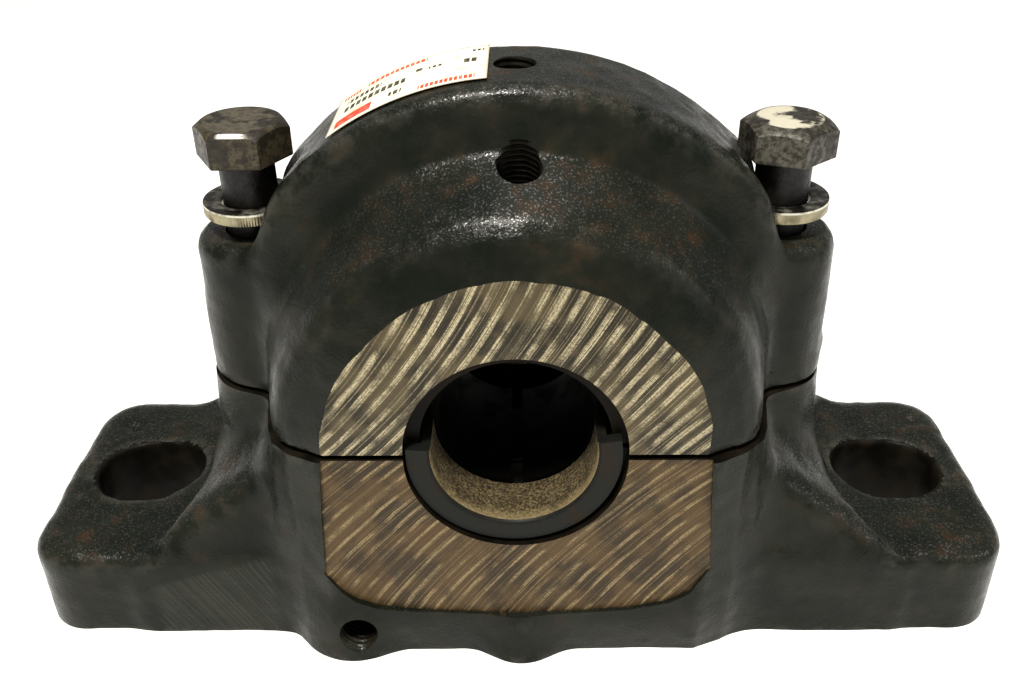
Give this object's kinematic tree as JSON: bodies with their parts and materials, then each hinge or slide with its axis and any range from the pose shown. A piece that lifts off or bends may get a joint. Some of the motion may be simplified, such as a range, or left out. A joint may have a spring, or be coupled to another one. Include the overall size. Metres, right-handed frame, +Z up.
{
  "type": "split pillow block bearing unit",
  "caption": "Split cast pillow block housing with an open bored end, two backed-out cap bolts, feet with elongated holes and a self-aligning roller bearing inside.",
  "frame": {"origin": "bottom centre of the housing base", "axes": "+X along the feet, +Y along the shaft away from the end with the drain boss, +Z up"},
  "size_m": [0.246, 0.0928, 0.1363],
  "materials": {
    "casting": "worn dark green-black paint over rough cast iron, end faces machined bare",
    "bolt_steel": "dull, browned hexagon bolt steel",
    "spring_steel": "bright, lightly tarnished spring steel",
    "liner_iron": "grey face with a tan, rough inside",
    "bearing_steel": "ground steel under grease",
    "cage_brass": "machined brass",
    "sleeve_steel": "turned steel",
    "label_paper": "off-white paper sticker with plain printed bars"
  },
  "bodies": {
    "housing": {"housing_base": "casting", "dowel_front": "sleeve_steel", "dowel_rear": "sleeve_steel", "front_liner_lower": "liner_iron", "rear_liner_lower": "liner_iron", "outer_ring": "bearing_steel", "locating_ring_front": "sleeve_steel", "locating_ring_rear": "sleeve_steel"},
    "cap": {"housing_cap": "casting", "rear_liner_upper": "liner_iron", "paper_label": "label_paper"},
    "left_bolt": {"cap_bolt_left": "bolt_steel"},
    "right_bolt": {"cap_bolt_right": "bolt_steel"},
    "left_washer": {"lock_washer_left": "spring_steel"},
    "right_washer": {"lock_washer_right": "spring_steel"},
    "aligner": {"guide_ring": "bearing_steel"},
    "shaft_set": {"inner_ring": "bearing_steel", "adapter_sleeve": "sleeve_steel", "tab_washer": "sleeve_steel", "lock_nut": "sleeve_steel"},
    "roller_set": {"cage_front": "cage_brass", "cage_rear": "cage_brass", "roller_front_01": "bearing_steel", "roller_front_02": "bearing_steel", "roller_front_03": "bearing_steel", "roller_front_04": "bearing_steel", "roller_front_05": "bearing_steel", "roller_front_06": "bearing_steel", "roller_front_07": "bearing_steel", "roller_front_08": "bearing_steel", "roller_front_09": "bearing_steel", "roller_front_10": "bearing_steel", "roller_front_11": "bearing_steel", "roller_front_12": "bearing_steel", "roller_front_13": "bearing_steel", "roller_front_14": "bearing_steel", "roller_front_15": "bearing_steel", "roller_front_16": "bearing_steel", "roller_rear_01": "bearing_steel", "roller_rear_02": "bearing_steel", "roller_rear_03": "bearing_steel", "roller_rear_04": "bearing_steel", "roller_rear_05": "bearing_steel", "roller_rear_06": "bearing_steel", "roller_rear_07": "bearing_steel", "roller_rear_08": "bearing_steel", "roller_rear_09": "bearing_steel", "roller_rear_10": "bearing_steel", "roller_rear_11": "bearing_steel", "roller_rear_12": "bearing_steel", "roller_rear_13": "bearing_steel", "roller_rear_14": "bearing_steel", "roller_rear_15": "bearing_steel", "roller_rear_16": "bearing_steel"}
  },
  "joints": [
    {"name": "cap_lift", "type": "slide", "parent": "housing", "child": "cap", "axis": [0, 0, 1], "range_m": [0, 0.1]},
    {"name": "left_bolt_travel", "type": "slide", "parent": "cap", "child": "left_bolt", "axis": [0, 0, 1], "range_m": [-0.014, 0.055]},
    {"name": "right_bolt_travel", "type": "slide", "parent": "cap", "child": "right_bolt", "axis": [0, 0, 1], "range_m": [-0.014, 0.055]},
    {"name": "left_washer_travel", "type": "slide", "parent": "cap", "child": "left_washer", "axis": [0, 0, 1], "range_m": [-0.0045, 0.0172]},
    {"name": "right_washer_travel", "type": "slide", "parent": "cap", "child": "right_washer", "axis": [0, 0, 1], "range_m": [-0.0045, 0.0172]},
    {"name": "bearing_tilt", "type": "hinge", "parent": "housing", "child": "aligner", "pos_m": [0, 0, 0.06], "axis": [1, 0, 0], "range_deg": [-1.5, 1.5]},
    {"name": "shaft_spin", "type": "hinge", "parent": "aligner", "child": "shaft_set", "pos_m": [0, 0, 0.06], "axis": [0, 1, 0], "continuous": true},
    {"name": "roller_orbit", "type": "hinge", "parent": "aligner", "child": "roller_set", "pos_m": [0, 0, 0.06], "axis": [0, 1, 0], "continuous": true}
  ],
  "couplings": [
    {"joint": "roller_orbit", "follows": "shaft_spin", "ratio": 0.421},
    {"joint": "left_washer_travel", "follows": "left_bolt_travel", "ratio": 0.31},
    {"joint": "right_washer_travel", "follows": "right_bolt_travel", "ratio": 0.31}
  ]
}
